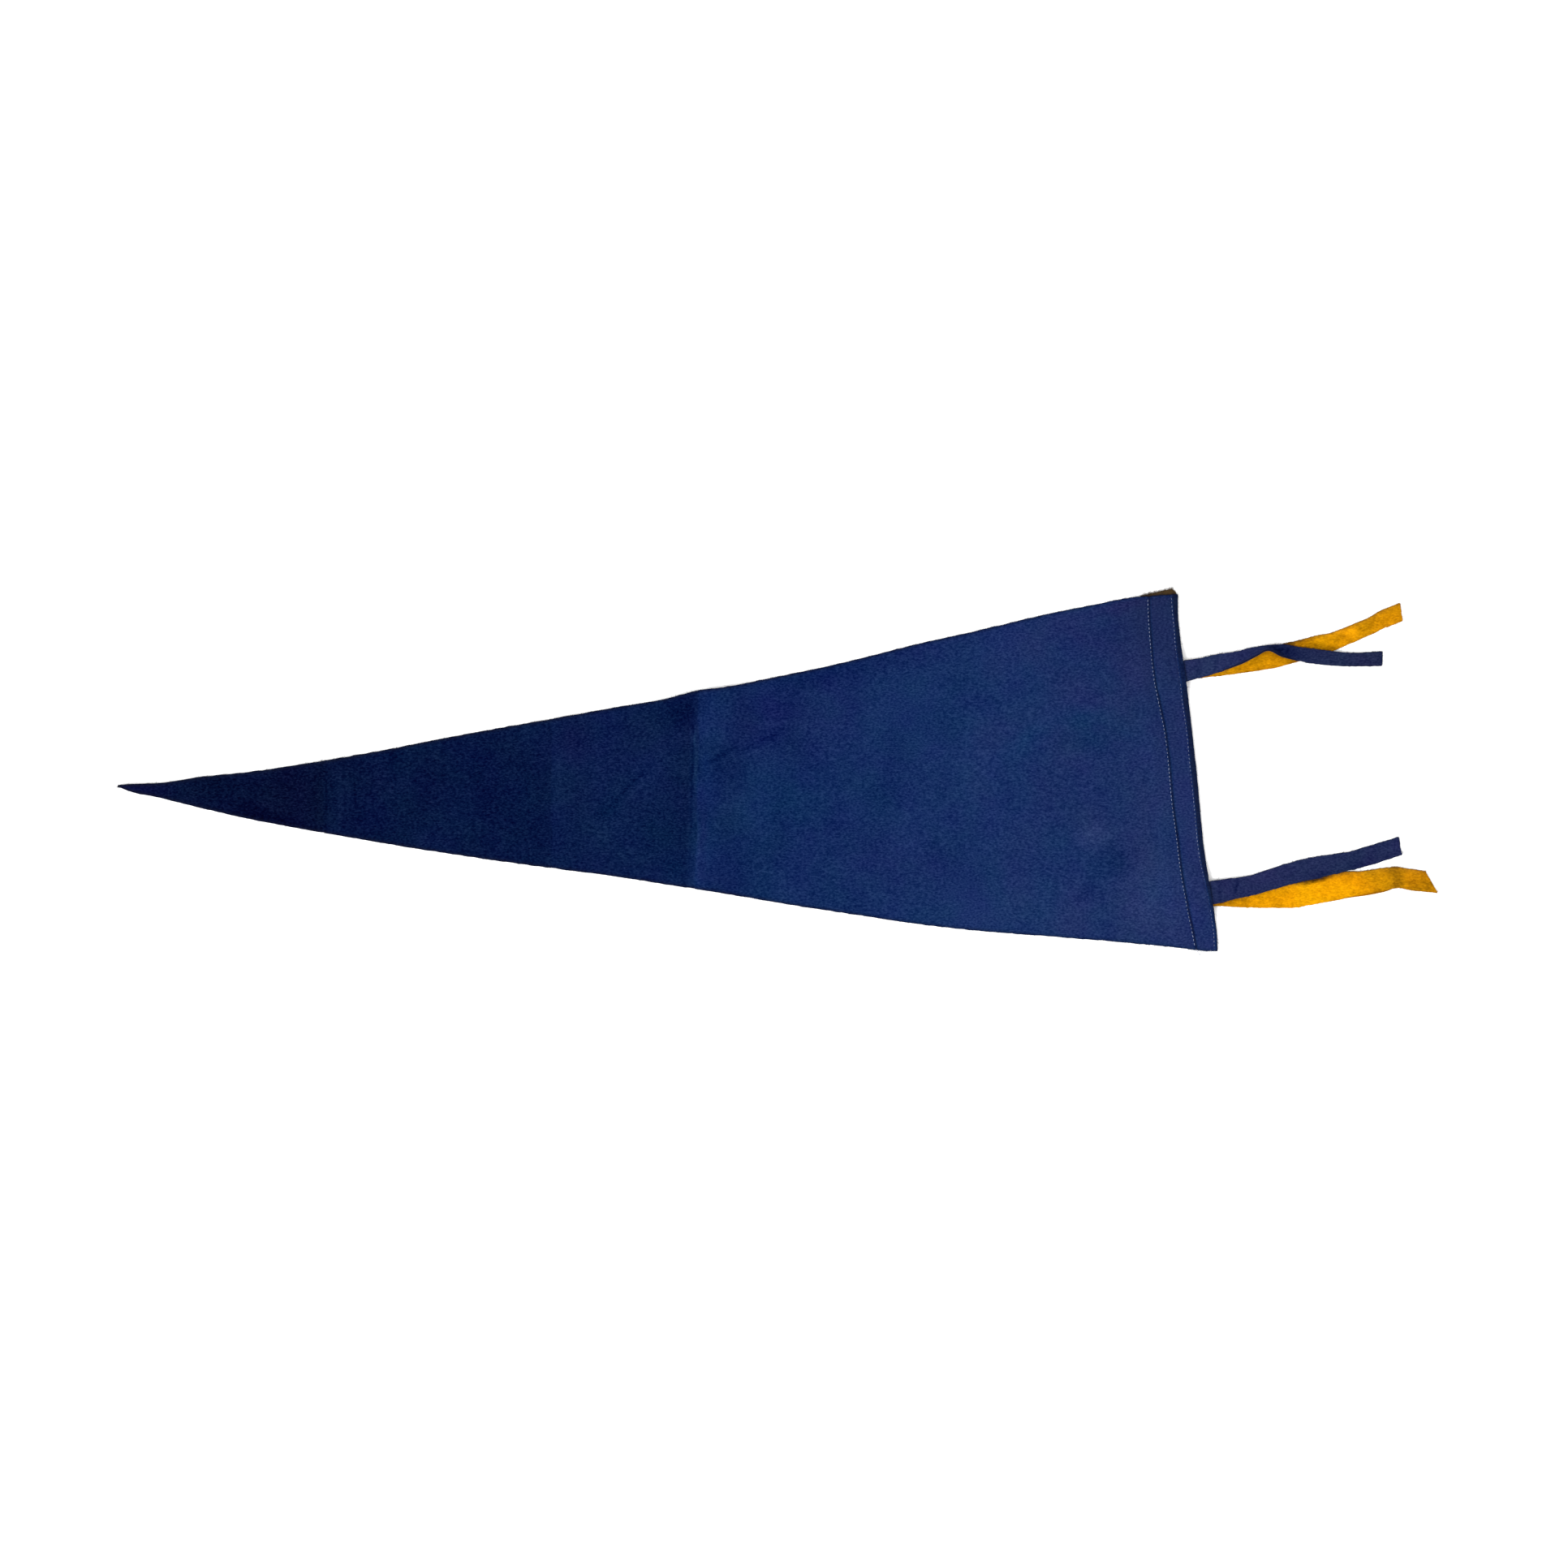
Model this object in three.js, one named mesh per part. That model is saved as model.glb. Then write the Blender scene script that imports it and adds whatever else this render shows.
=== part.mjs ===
// A felt pennant lying back side up on a table: a long triangular panel, a heading strip
// sewn under its short edge, and two pairs of ties held between the strip and the panel.
// X runs from the tip towards the ties, Y up along the short edge, Z up from the table.
// The origin is the middle of the heading strip's underside.
import * as THREE from 'three';

// Driving dimensions, in millimetres
const felt = 1.2; // thickness of each cut piece
const sewnFelt = 0.8; // thickness of a tie where the seam presses it
const gap = 0.4; // air between pieces that lie on each other
const stripLevel = felt + gap; // what lies on the strip starts here
const rootRise = 2 * (sewnFelt + gap); // two tie roots lift the panel by this much more
const rimDrop = 0.9; // the panel's short edge bends down past the strip by this much
const rimDropIn = 1.4; // and starts to do so this far in
const drapeMargin = 2; // cloth stays level this far past the edge of what it covers
const drapeFall = 11; // and comes down to the table over this distance
const pressMargin = 3; // a tie stays thin this far out past the strip
const pressRun = 9; // and is back to its full thickness over this distance
const tipRise = 2; // the tip stands a little off the table
const tipRun = 40; // over this length
const bowRun = 46; // the short edge's waves die out this far in

// The panel's cut edges, a row for each change of direction, from the tip to the short edge.
// Columns: x and y on the upper edge, how far right the section's lower end lies, y there.
const panelSections = [
  [-698.6, -9.1, 0, -10.5],
  [-693.6, -8.7, 0, -12.5],
  [-671.1, -7.6, 0, -17.9],
  [-644.3, -3.5, 0, -24.5],
  [-617.5, -0.8, 0, -30.7],
  [-563.9, 7.0, 0, -40.7],
  [-456.7, 27.1, 0, -58.2],
  [-370.9, 42.5, 0, -69.7],
  [-336.1, 48.4, -1.5, -74.8],
  [-316.2, 53.6, -2.7, -77.7],
  [-303.9, 55.0, -2.7, -79.6],
  [-269.1, 61.6, 0, -86.1],
  [-215.5, 73.1, 0, -94.4],
  [-175.3, 83.3, 2.7, -100.9],
  [-135.1, 92.3, 6.4, -105.6],
  [-81.5, 104.9, 15, -110.5],
  [-54.7, 110.2, 22.5, -113.4],
  [-25.2, 115.0, 25.5, -116.5],
  [-19.8, 114.2, 25.7, -117.3],
  [-11.8, 115.8, 26.0, -118.3],
  [-0.8, 116.6, 26.3, -118.9],
].map(([x, top, lean, bottom]) => ({ x, top, lean, bottom }));

// How the short edge waves off a straight line. Columns: share of the way down, millimetres out.
const shortEdgeBow = [
  [0, 0],
  [0.06, -1.3],
  [0.11, -1.5],
  [0.25, -0.5],
  [0.5, -0.4],
  [0.72, -1.0],
  [0.88, 0.6],
  [0.95, 1.0],
  [1, 0.1],
].map(([down, out]) => ({ down, out }));

// Old fold lines that lie on the table, where the panel bows up a little on both sides.
// Columns: x on the upper edge, how high the bows stand at the upper and at the lower edge,
// reach of the left and of the right bow.
const creases = [
  [-563.9, 0.9, 1.1, 21, 24],
  [-413.8, 1.3, 1.0, 24, 27],
  [-316.2, 2.8, 2.2, 33, 39],
].map(([x, topHigh, bottomHigh, left, right]) => ({ x, topHigh, bottomHigh, left, right }));

// The strip and the ties have a row for each section. Its first two columns are x and y where
// it meets one long edge, and the next two are x and y on the far edge. A tie's fifth column
// is how high its far edge is crimped up off its bed.
const bandColumns = ([x, y, farX, farY, crimp = 0]) => ({ x, y, farX, farY, crimp });

// The heading strip from its upper end to its lower one: the inner edge, then the outer edge.
const stripSections = [
  [-21.0, 117.7, -4.4, 120.2],
  [-23.8, 115.2, -2.1, 117.4],
  [-24.7, 106.5, -2.1, 106.5],
  [-23.9, 89.0, -0.9, 89.0],
  [-20.6, 64.3, 2.4, 64.3],
  [-14.2, 27.9, 7.0, 27.9],
  [-7.8, -26.8, 12.9, -26.8],
  [-4.3, -54.7, 15.7, -54.7],
  [-1.1, -76.6, 19.3, -76.6],
  [4.0, -105.1, 23.3, -105.1],
  [5.9, -115.8, 23.9, -117.1],
].map(bandColumns);

// The ties from the sewn root to the free end: the upper edge, then the lower edge.
const upperGoldTie = [
  [-5.4, 72.9, -4.3, 60.3],
  [3.2, 73.7, 5.1, 61.1],
  [15.0, 74.1, 16.6, 61.6],
  [36.4, 76.4, 39.1, 64.4],
  [57.9, 80.7, 61.1, 67.6],
  [68.6, 84.3, 72.9, 70.4],
  [79.3, 86.6, 84.7, 74.0],
  [90.0, 89.5, 96.5, 77.5],
  [100.8, 91.7, 106.1, 80.9],
  [122.2, 100.0, 127.6, 90.6],
  [132.9, 105.9, 138.3, 95.4],
  [145.8, 111.3, 147.8, 99.0],
].map(bandColumns);
const upperBlueTie = [
  [-5.4, 72.4, -4.3, 58.4],
  [3.2, 73.2, 5.1, 59.2],
  [15.0, 75.0, 17.2, 62.4],
  [25.7, 77.6, 28.9, 66.2, 1],
  [36.4, 79.0, 40.2, 70.3, 4],
  [47.2, 81.5, 49.3, 75.0, 5.5],
  [57.9, 82.9, 57.4, 78.9, 7.5],
  [68.6, 83.9, 67.0, 75.3, 3],
  [79.3, 82.0, 77.7, 72.9, 0.5],
  [90.0, 80.6, 89.0, 70.9],
  [111.5, 78.3, 111.0, 69.3],
  [134.8, 79.2, 134.4, 69.4],
].map(bandColumns);
const lowerGoldTie = [
  [11.3, -75.0, 12.9, -89.5],
  [20.4, -75.3, 22.0, -89.0],
  [41.8, -76.4, 41.8, -89.9],
  [52.5, -76.4, 52.5, -90.2],
  [74.0, -74.9, 75.0, -90.4],
  [85.8, -74.9, 87.4, -88.5],
  [107.2, -67.3, 109.9, -83.9, 1.2],
  [120.0, -65.0, 122.5, -82.0, 3.2],
  [134.0, -63.3, 135.0, -79.6, 2.4],
  [143.6, -62.9, 143.9, -77.2, 0.2],
  [153.0, -64.0, 154.5, -78.6, 0.9],
  [162.3, -65.6, 171.0, -80.6, 0.2],
].map(bandColumns);
const lowerBlueTie = [
  [11.3, -72.9, 13.4, -89.0],
  [20.4, -72.2, 22.5, -88.0],
  [36.4, -70.2, 38.6, -84.0],
  [47.2, -68.6, 50.9, -81.4],
  [68.6, -61.6, 72.9, -74.9],
  [79.3, -58.4, 83.1, -72.5],
  [90.0, -56.2, 92.7, -70.5],
  [100.8, -54.8, 102.9, -67.7],
  [111.5, -53.1, 114.2, -65.2],
  [122.2, -50.1, 125.4, -62.3],
  [145.3, -43.1, 147.4, -55.4],
].map(bandColumns);

// How finely the pieces are divided, with distances in millimetres
const tieSteps = 4; // sections for each row of a tie's table
const tieLanes = 4; // lanes across a tie
const stripLanes = 2; // lanes across the strip
const plainLane = 16; // greatest width of one of the panel's lanes at its short edge
const rootLines = [-20, -14.5, -8.5, 0, 8.5, 14.5, 20]; // lines along the panel beside a tie root
const headingLines = [46, 38, 34, 30.5, 27, 22.5, 19, 15.5, 10.5, 6, rimDropIn, 0]; // in from the edge
const bowShares = [1 / 3, 2 / 3, 1]; // a bow has a section at these shares of its reach
const bowPeak = 27 / 4; // brings the greatest height of a bow's curve to one
const creaseClear = 8; // no other section lies this close to one of a crease's

const navy = '#1a2e61';
const tieBlue = '#283464';
const gold = '#e6a00a';
const feltRoughness = 0.95;

const { clamp, lerp, smoothstep } = THREE.MathUtils;

// The row of a table at a given value of one column, on straight lines between its rows.
function rowAt(rows, column, value) {
  const last = rows.length - 2;
  const found = rows.findIndex((row, i) => i <= last && value <= rows[i + 1][column]);
  const i = found < 0 ? last : found;
  const share = clamp((value - rows[i][column]) / (rows[i + 1][column] - rows[i][column]), 0, 1);
  const mixed = {};
  for (const key of Object.keys(rows[i])) {
    mixed[key] = lerp(rows[i][key], rows[i + 1][key], share);
  }
  return mixed;
}

// The closed outline of a strip or tie in plan: out along one edge and back along the other.
function outlineOf(sections) {
  const near = sections.map((row) => new THREE.Vector2(row.x, row.y));
  const far = sections.map((row) => new THREE.Vector2(row.farX, row.farY));
  return near.concat(far.reverse());
}

// Distance from a point to an outline: zero inside it.
function distanceOutside(outline, x, y) {
  let inside = false;
  let nearest = Infinity;
  outline.forEach((a, i) => {
    const b = outline[(i + 1) % outline.length];
    if (a.y > y !== b.y > y && x < a.x + ((y - a.y) * (b.x - a.x)) / (b.y - a.y)) {
      inside = !inside;
    }
    const run = b.clone().sub(a);
    const along = ((x - a.x) * run.x + (y - a.y) * run.y) / run.lengthSq();
    const foot = a.clone().addScaledVector(run, clamp(along, 0, 1));
    nearest = Math.min(nearest, Math.hypot(x - foot.x, y - foot.y));
  });
  return inside ? 0 : nearest;
}

// How much of its full height cloth has at a point over or beside a piece that it covers.
function cover(outline, x, y) {
  return 1 - smoothstep(distanceOutside(outline, x, y), drapeMargin, drapeMargin + drapeFall);
}

// The bed of a gold tie, and of the panel away from the ties: the strip, then the table.
const stripOutline = outlineOf(stripSections);
const stripBed = (x, y) => stripLevel * cover(stripOutline, x, y);

// A tie is pressed thin in the seam, and full again a little way out past the strip.
const stripOuterEdge = stripSections.map((row) => ({ down: -row.farY, x: row.farX }));

function tieThickness(x, y) {
  const out = x - rowAt(stripOuterEdge, 'down', -y).x;
  return lerp(sewnFelt, felt, smoothstep(out, pressMargin, pressMargin + pressRun));
}

// The bed of a blue tie: the gold tie below it, and beside that the strip or the table.
function goldTieBed(goldTie) {
  const outline = outlineOf(goldTie);
  return (x, y) => {
    const onGold = stripBed(x, y) + tieThickness(x, y) + gap;
    return lerp(stripBed(x, y), onGold, cover(outline, x, y));
  };
}

// A closed sheet from a grid of points on its underside, each with x, y, z and thickness.
// The upper face stands off the lower one by the thickness, along its normal.
function sheet(grid) {
  const rows = grid.length;
  const columns = grid[0].length;
  const lower = grid.map((line) => line.map((p) => new THREE.Vector3(p.x, p.y, p.z)));
  const upper = lower.map((line, i) => line.map((point, j) => {
    const along = lower[Math.min(i + 1, rows - 1)][j].clone();
    along.sub(lower[Math.max(i - 1, 0)][j]);
    const across = line[Math.min(j + 1, columns - 1)].clone();
    across.sub(line[Math.max(j - 1, 0)]);
    return across.cross(along).setLength(grid[i][j].thickness).add(point);
  }));
  const under = rows * columns; // the number of the lower face's first point
  const at = (i, j) => i * columns + j;
  const triangles = [];
  for (let i = 0; i < rows - 1; i += 1) {
    for (let j = 0; j < columns - 1; j += 1) {
      const [a, b, c, d] = [at(i, j), at(i, j + 1), at(i + 1, j + 1), at(i + 1, j)];
      triangles.push(a, b, c, a, c, d);
      triangles.push(a + under, c + under, b + under, a + under, d + under, c + under);
    }
  }
  const rim = [];
  for (let j = 0; j < columns - 1; j += 1) {
    rim.push(at(0, j));
  }
  for (let i = 0; i < rows - 1; i += 1) {
    rim.push(at(i, columns - 1));
  }
  for (let j = columns - 1; j > 0; j -= 1) {
    rim.push(at(rows - 1, j));
  }
  for (let i = rows - 1; i > 0; i -= 1) {
    rim.push(at(i, 0));
  }
  rim.forEach((a, i) => {
    const b = rim[(i + 1) % rim.length];
    triangles.push(a, a + under, b + under, a, b + under, b);
  });
  const geometry = new THREE.BufferGeometry();
  const positions = new Float32Array([...upper, ...lower].flat().flatMap((p) => p.toArray()));
  geometry.setAttribute('position', new THREE.BufferAttribute(positions, 3));
  geometry.setIndex(triangles);
  geometry.computeVertexNormals();
  return geometry;
}

// A tie has smooth edges through its table's rows and lies on its bed. Where the far edge is
// crimped, the section rises towards it as a quarter of an ellipse does.
function tie(sections, bed) {
  const curve = (points) => new THREE.CatmullRomCurve3(points, false, 'catmullrom');
  const nearEdge = curve(sections.map((row) => new THREE.Vector3(row.x, row.y, 0)));
  const farEdge = curve(sections.map((row) => new THREE.Vector3(row.farX, row.farY, row.crimp)));
  const steps = (sections.length - 1) * tieSteps;
  const grid = [];
  for (let i = 0; i <= steps; i += 1) {
    const near = nearEdge.getPoint(i / steps);
    const far = farEdge.getPoint(i / steps);
    const crimp = Math.max(far.z, 0);
    const line = [];
    for (let j = 0; j <= tieLanes; j += 1) {
      const turn = (j / tieLanes) * (Math.PI / 2);
      const share = lerp(j / tieLanes, Math.sin(turn), Math.min(crimp / felt, 1));
      const x = lerp(near.x, far.x, share);
      const y = lerp(near.y, far.y, share);
      const z = bed(x, y) + crimp * (1 - Math.cos(turn));
      line.push({ x, y, z, thickness: tieThickness(x, y) });
    }
    grid.push(line);
  }
  return sheet(grid);
}

// The heading strip lies flat on the table. Its rows run from its lower end up, so that its
// faces point the same way as the other sheets'.
function headingStrip() {
  const grid = [...stripSections].reverse().map((row) => {
    const line = [];
    for (let j = 0; j <= stripLanes; j += 1) {
      const share = j / stripLanes;
      const x = lerp(row.x, row.farX, share);
      const y = lerp(row.y, row.farY, share);
      line.push({ x, y, z: 0, thickness: felt });
    }
    return line;
  });
  return sheet(grid);
}

const tip = panelSections[0];
const shortEdge = panelSections[panelSections.length - 1];
const shortEdgeLength = shortEdge.top - shortEdge.bottom;

// Lines along the panel, as shares of the way down its short edge: close beside each tie root,
// where the panel humps over it, and wider lanes between.
function panelLines() {
  const rootAt = (sections) => shortEdge.top - (sections[1].y + sections[1].farY) / 2;
  const roots = [upperBlueTie, lowerBlueTie].map(rootAt);
  const set = [0, ...roots.flatMap((root) => rootLines.map((side) => root + side)), shortEdgeLength];
  const lines = [0];
  set.slice(1).forEach((end, i) => {
    const lanes = Math.ceil((end - set[i]) / plainLane);
    for (let k = 1; k <= lanes; k += 1) {
      lines.push(lerp(set[i], end, k / lanes) / shortEdgeLength);
    }
  });
  return lines;
}

// Sections across the panel, by x on the upper edge: at the cut edges' changes of direction, at
// each crease and along its bows, at the foot of the lifted tip and closely at the heading.
function panelStations() {
  const folds = creases.flatMap(({ x, left, right }) => [
    x,
    ...bowShares.flatMap((share) => [x - left * share, x + right * share]),
  ]);
  const heading = headingLines.map((inward) => shortEdge.x - inward);
  const isClear = (x) => x < heading[0] && folds.every((other) => Math.abs(other - x) > creaseClear);
  const edges = panelSections.map((row) => row.x).filter(isClear);
  return [...edges, tip.x + tipRun, ...folds, ...heading].sort((a, b) => a - b);
}

// How high the lifted tip and the bows beside the creases stand at one place on the panel. A
// bow rises steeply from its crease, is highest a third of the way out and dies away gently.
function panelRelief(station, down) {
  let high = tipRise * Math.max(0, 1 - (station - tip.x) / tipRun) ** 2;
  for (const crease of creases) {
    const reach = station < crease.x ? crease.left : crease.right;
    const share = Math.min(Math.abs(station - crease.x) / reach, 1);
    const bowHigh = lerp(crease.topHigh, crease.bottomHigh, down);
    high += bowHigh * bowPeak * share * (1 - share) ** 2;
  }
  return high;
}

// The panel lies on the table, over the strip and in a hump over each pair of tie roots. Its
// short edge bends down past the strip where no tie comes out.
function panel() {
  const rootOutlines = [upperBlueTie, lowerBlueTie].map(outlineOf);
  const lines = panelLines();
  return sheet(panelStations().map((station) => {
    const row = rowAt(panelSections, 'x', station);
    const inward = shortEdge.x - station;
    return lines.map((down) => {
      const bow = rowAt(shortEdgeBow, 'down', down).out * Math.max(0, 1 - inward / bowRun);
      const x = row.x + row.lean * down + bow;
      const y = lerp(row.top, row.bottom, down);
      const rootCover = Math.max(...rootOutlines.map((outline) => cover(outline, x, y)));
      const drop = rimDrop * (1 - rootCover) * Math.max(0, 1 - inward / rimDropIn);
      const z = stripBed(x, y) + rootRise * rootCover - drop + panelRelief(station, down);
      return { x, y, z, thickness: felt };
    });
  }));
}

function piece(name, geometry, color) {
  const material = new THREE.MeshStandardMaterial({ color, roughness: feltRoughness, metalness: 0 });
  const mesh = new THREE.Mesh(geometry, material);
  mesh.name = name;
  return mesh;
}

const pennant = new THREE.Group();
pennant.add(
  piece('panel', panel(), navy),
  piece('heading_strip', headingStrip(), gold),
  piece('tie_upper_gold', tie(upperGoldTie, stripBed), gold),
  piece('tie_upper_blue', tie(upperBlueTie, goldTieBed(upperGoldTie)), tieBlue),
  piece('tie_lower_gold', tie(lowerGoldTie, stripBed), gold),
  piece('tie_lower_blue', tie(lowerBlueTie, goldTieBed(lowerGoldTie)), tieBlue),
);

export default pennant;
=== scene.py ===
import bpy
import numpy as np
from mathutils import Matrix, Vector


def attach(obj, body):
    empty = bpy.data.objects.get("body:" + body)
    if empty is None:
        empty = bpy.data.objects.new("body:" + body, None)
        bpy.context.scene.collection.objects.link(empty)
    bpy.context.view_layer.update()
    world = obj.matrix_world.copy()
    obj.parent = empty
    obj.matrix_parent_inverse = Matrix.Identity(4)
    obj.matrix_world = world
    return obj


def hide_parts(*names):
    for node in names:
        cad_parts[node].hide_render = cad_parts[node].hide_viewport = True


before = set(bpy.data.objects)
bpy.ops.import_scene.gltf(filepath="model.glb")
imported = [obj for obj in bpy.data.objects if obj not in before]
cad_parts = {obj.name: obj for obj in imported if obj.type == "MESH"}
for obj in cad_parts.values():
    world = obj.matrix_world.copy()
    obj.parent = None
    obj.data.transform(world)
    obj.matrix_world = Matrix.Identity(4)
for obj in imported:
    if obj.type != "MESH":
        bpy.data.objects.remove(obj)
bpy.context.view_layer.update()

# A felt pennant lying back side up. Lengths are in millimetres unless a note says metres, and
# meshes are turned to metres when they are built. X runs from the tip to the ties, Z up from the
# table.
mm = 0.001
upwards = np.array([0.0, 0.0, 1.0])
chance = np.random.default_rng(28)

cloth = {
    "felt": 1.2,  # thickness of each cut piece
    "sewnFelt": 0.8,  # a tie where the seam presses it
    "gap": 0.4,  # air between pieces that lie on each other
    "drapeMargin": 2.0,  # cloth stays level this far past what it covers
    "drapeFall": 11.0,  # and comes down over this distance
    "pressMargin": 3.0,  # a tie stays thin this far past the strip
    "pressRun": 9.0,  # and is full again over this distance
    "rim": 0.45,  # how far a worn cut edge rounds out
    "rimSteps": 6,  # divisions round a cut edge
    "rimLimits": (0.1, 1.0),
    "fray": 0.11,  # how unevenly the edge was cut, in waves of this size
    "fraySize": 7.0,
    "wear": 0.1,  # and how unevenly it is worn
    "wearSize": 2.4,
    "wornIn": [0.0, 0.5, 1.1, 1.8, 2.8],  # rows of points close to a cut edge, in from the rim
}
fibre = {
    "radius": 0.05,
    "lengths": (3.0, 0.3),  # shape and scale of how the lengths are spread, as a gamma curve
    "longest": 2.4,
    "roots": (-0.7, 0.9),  # where it leaves the cut, as a share of half the thickness
    "stray": 0.6,  # how far it leans from straight outwards
    "curl": 0.45,
    "rise": 0.4,  # the share of both that goes up or down
    "steps": 5,
    "sides": 3,
    "edgeShade": 0.3,
}
stripLevel = cloth["felt"] + cloth["gap"]
rootRise = 2 * (cloth["sewnFelt"] + cloth["gap"])


def ease(value, start, end):
    # 0 before start, 1 after end, and a smooth step between them
    share = np.clip((value - start) / (end - start), 0, 1)
    return share * share * (3 - 2 * share)


def smoothRead(knots, values, at):
    # a cubic through the rows, whose slope at each row is set by the rows on both sides
    knots, values, at = np.asarray(knots, float), np.asarray(values, float), np.asarray(at, float)
    slopes = np.gradient(values, knots)
    i = np.clip(np.searchsorted(knots, at, side="right") - 1, 0, len(knots) - 2)
    width = knots[i + 1] - knots[i]
    t = np.clip((at - knots[i]) / width, 0, 1)
    start = (1 + 2 * t) * (1 - t) ** 2 * values[i] + t * (1 - t) ** 2 * width * slopes[i]
    return start + t * t * (3 - 2 * t) * values[i + 1] - t * t * (1 - t) * width * slopes[i + 1]


def unit(vectors):
    return vectors / np.maximum(np.linalg.norm(vectors, axis=-1, keepdims=True), 1e-12)


def lumps(size, waves=28):
    # Soft uneven lumps about size across: a sum of sine waves in chance directions, about -1 to 1.
    # The waves are drawn once, and what is returned reads them at any place.
    turn = chance.uniform(0, np.pi, waves)
    rate = 2 * np.pi / (size * chance.uniform(0.7, 1.9, waves))
    start = chance.uniform(0, 2 * np.pi, waves)

    def heightAt(x, y):
        total = np.zeros(np.broadcast(x, y).shape)
        for k in range(waves):
            total += np.sin(rate[k] * (x * np.cos(turn[k]) + y * np.sin(turn[k])) + start[k])
        return total / np.sqrt(waves)

    return heightAt


def outlineOf(rows):
    # a strip's or tie's cut outline in plan: out along one edge and back along the other
    rows = np.array(rows)
    return np.concatenate([rows[:, 0:2], rows[::-1, 2:4]])


def distanceOutside(outline, x, y):
    # distance from each point to the nearest edge of an outline, and zero inside it
    ends = np.roll(outline, -1, 0)
    px, py = x[..., None], y[..., None]
    ax, ay = outline[:, 0], outline[:, 1]
    runX, runY = ends[:, 0] - ax, ends[:, 1] - ay
    along = np.clip(((px - ax) * runX + (py - ay) * runY) / (runX**2 + runY**2), 0, 1)
    nearest = np.hypot(px - ax - along * runX, py - ay - along * runY).min(-1)
    rising = np.where(runY == 0, 1e-9, runY)
    crossed = ((ay > py) != (ends[:, 1] > py)) & (px < ax + (py - ay) * runX / rising)
    return np.where(crossed.sum(-1) % 2 == 1, 0, nearest)


def cover(outline, x, y):
    # how much of its full height cloth has over or beside a piece that it covers
    margin = cloth["drapeMargin"]
    return 1 - ease(distanceOutside(outline, x, y), margin, margin + cloth["drapeFall"])


def facesOf(surface, u, v, stepU, stepV):
    # the lower face as given, and the upper one off it by the felt's thickness along the normal
    lower, thickness = surface(u, v)
    alongU = surface(u + stepU, v)[0] - surface(u - stepU, v)[0]
    alongV = surface(u, v + stepV)[0] - surface(u, v - stepV)[0]
    normal = unit(np.cross(alongU, alongV))
    normal *= np.sign(normal[..., 2].mean())
    return lower, lower + normal * thickness[..., None], normal


def addMesh(name, points, faces, marks=None):
    # a smooth mesh from points in millimetres, with a number at each point for each mark
    mesh = bpy.data.meshes.new(name)
    mesh.from_pydata(points * mm, [], faces)
    mesh.polygons.foreach_set("use_smooth", np.ones(len(mesh.polygons), bool))
    for key, values in (marks or {}).items():
        mesh.attributes.new(key, "FLOAT", "POINT").data.foreach_set("value", values.astype("f4"))
    mesh.update()
    piece = bpy.data.objects.new(name, mesh)
    bpy.context.collection.objects.link(piece)
    return piece


def closedSheet(name, lower, upper, fade, grimeAndShade=0.0, hairs=0, bare=1.0):
    # Both faces of a sheet and a half round of worn felt between them, all the way round. A rim
    # point stands at the cut's middle, plus half the thickness times the sine of its angle, plus
    # the rim's depth outwards times the cosine. Loose fibres stand out of it where it is bare.
    rows, columns = lower.shape[:2]
    count = rows * columns
    index = np.arange(count).reshape(rows, columns)
    sides = [index[0, :-1], index[:-1, -1], index[-1, :0:-1], index[:0:-1, 0]]
    ring = np.concatenate(sides)
    low, high = lower.reshape(-1, 3), upper.reshape(-1, 3)
    middle, half = (high[ring] + low[ring]) / 2, (high[ring] - low[ring]) / 2
    turned = np.roll(middle, -1, 0)
    turning = np.sign((middle[:, 0] * turned[:, 1] - turned[:, 0] * middle[:, 1]).sum())
    outward = turning * unit(np.cross(turned - np.roll(middle, 1, 0), half))
    depth = cloth["rim"] + cloth["fray"] * lumps(cloth["fraySize"])(middle[:, 0], middle[:, 1])
    depth += cloth["wear"] * lumps(cloth["wearSize"])(middle[:, 0], middle[:, 1])
    depth = np.clip(depth, *cloth["rimLimits"])[:, None]
    points, edge, loops = [high, low], [np.zeros(2 * count)], [ring]
    for k in range(1, cloth["rimSteps"]):
        angle = np.pi / 2 - np.pi * k / cloth["rimSteps"]
        points.append(middle + half * np.sin(angle) + outward * depth * np.cos(angle))
        edge.append(np.full(len(ring), np.cos(angle)))
        loops.append(2 * count + (k - 1) * len(ring) + np.arange(len(ring)))
    loops.append(ring + count)
    quads = np.stack([index[:-1, :-1], index[:-1, 1:], index[1:, 1:], index[1:, :-1]], -1)
    quads = quads.reshape(-1, 4)
    faces = [quads, quads[:, ::-1] + count]
    for a, b in zip(loops[:-1], loops[1:]):
        faces.append(np.stack([a, b, np.roll(b, -1), np.roll(a, -1)], -1))
    faces = np.concatenate(faces)
    if turning < 0:
        faces = faces[:, ::-1]

    def everywhere(values):
        # one number for each point, the rim's taken from the face beside it
        flat = np.broadcast_to(values, (rows, columns)).ravel()
        return np.concatenate([flat, flat] + [flat[ring]] * (cloth["rimSteps"] - 1))

    marks = {"fade": everywhere(fade), "grimeAndShade": everywhere(grimeAndShade), "cutEdgeShade": np.concatenate(edge)}
    points = np.concatenate(points)
    if hairs:
        open_ = np.broadcast_to(bare, (rows, columns)).ravel()[ring] > 0.5
        at = chance.choice(np.flatnonzero(open_), hairs)
        fibres = looseFibres(middle[at], half[at], outward[at], depth[at])
        perHair = len(fibres[0]) // hairs
        for key in ("fade", "grimeAndShade"):
            marks[key] = np.concatenate([marks[key], marks[key][ring[at]].repeat(perHair)])
        shade = np.full(len(fibres[0]), fibre["edgeShade"])
        marks["cutEdgeShade"] = np.concatenate([marks["cutEdgeShade"], shade])
        points, faces = joined([(points, faces.tolist()), fibres])
    return addMesh(name, points, faces, marks)


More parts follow.
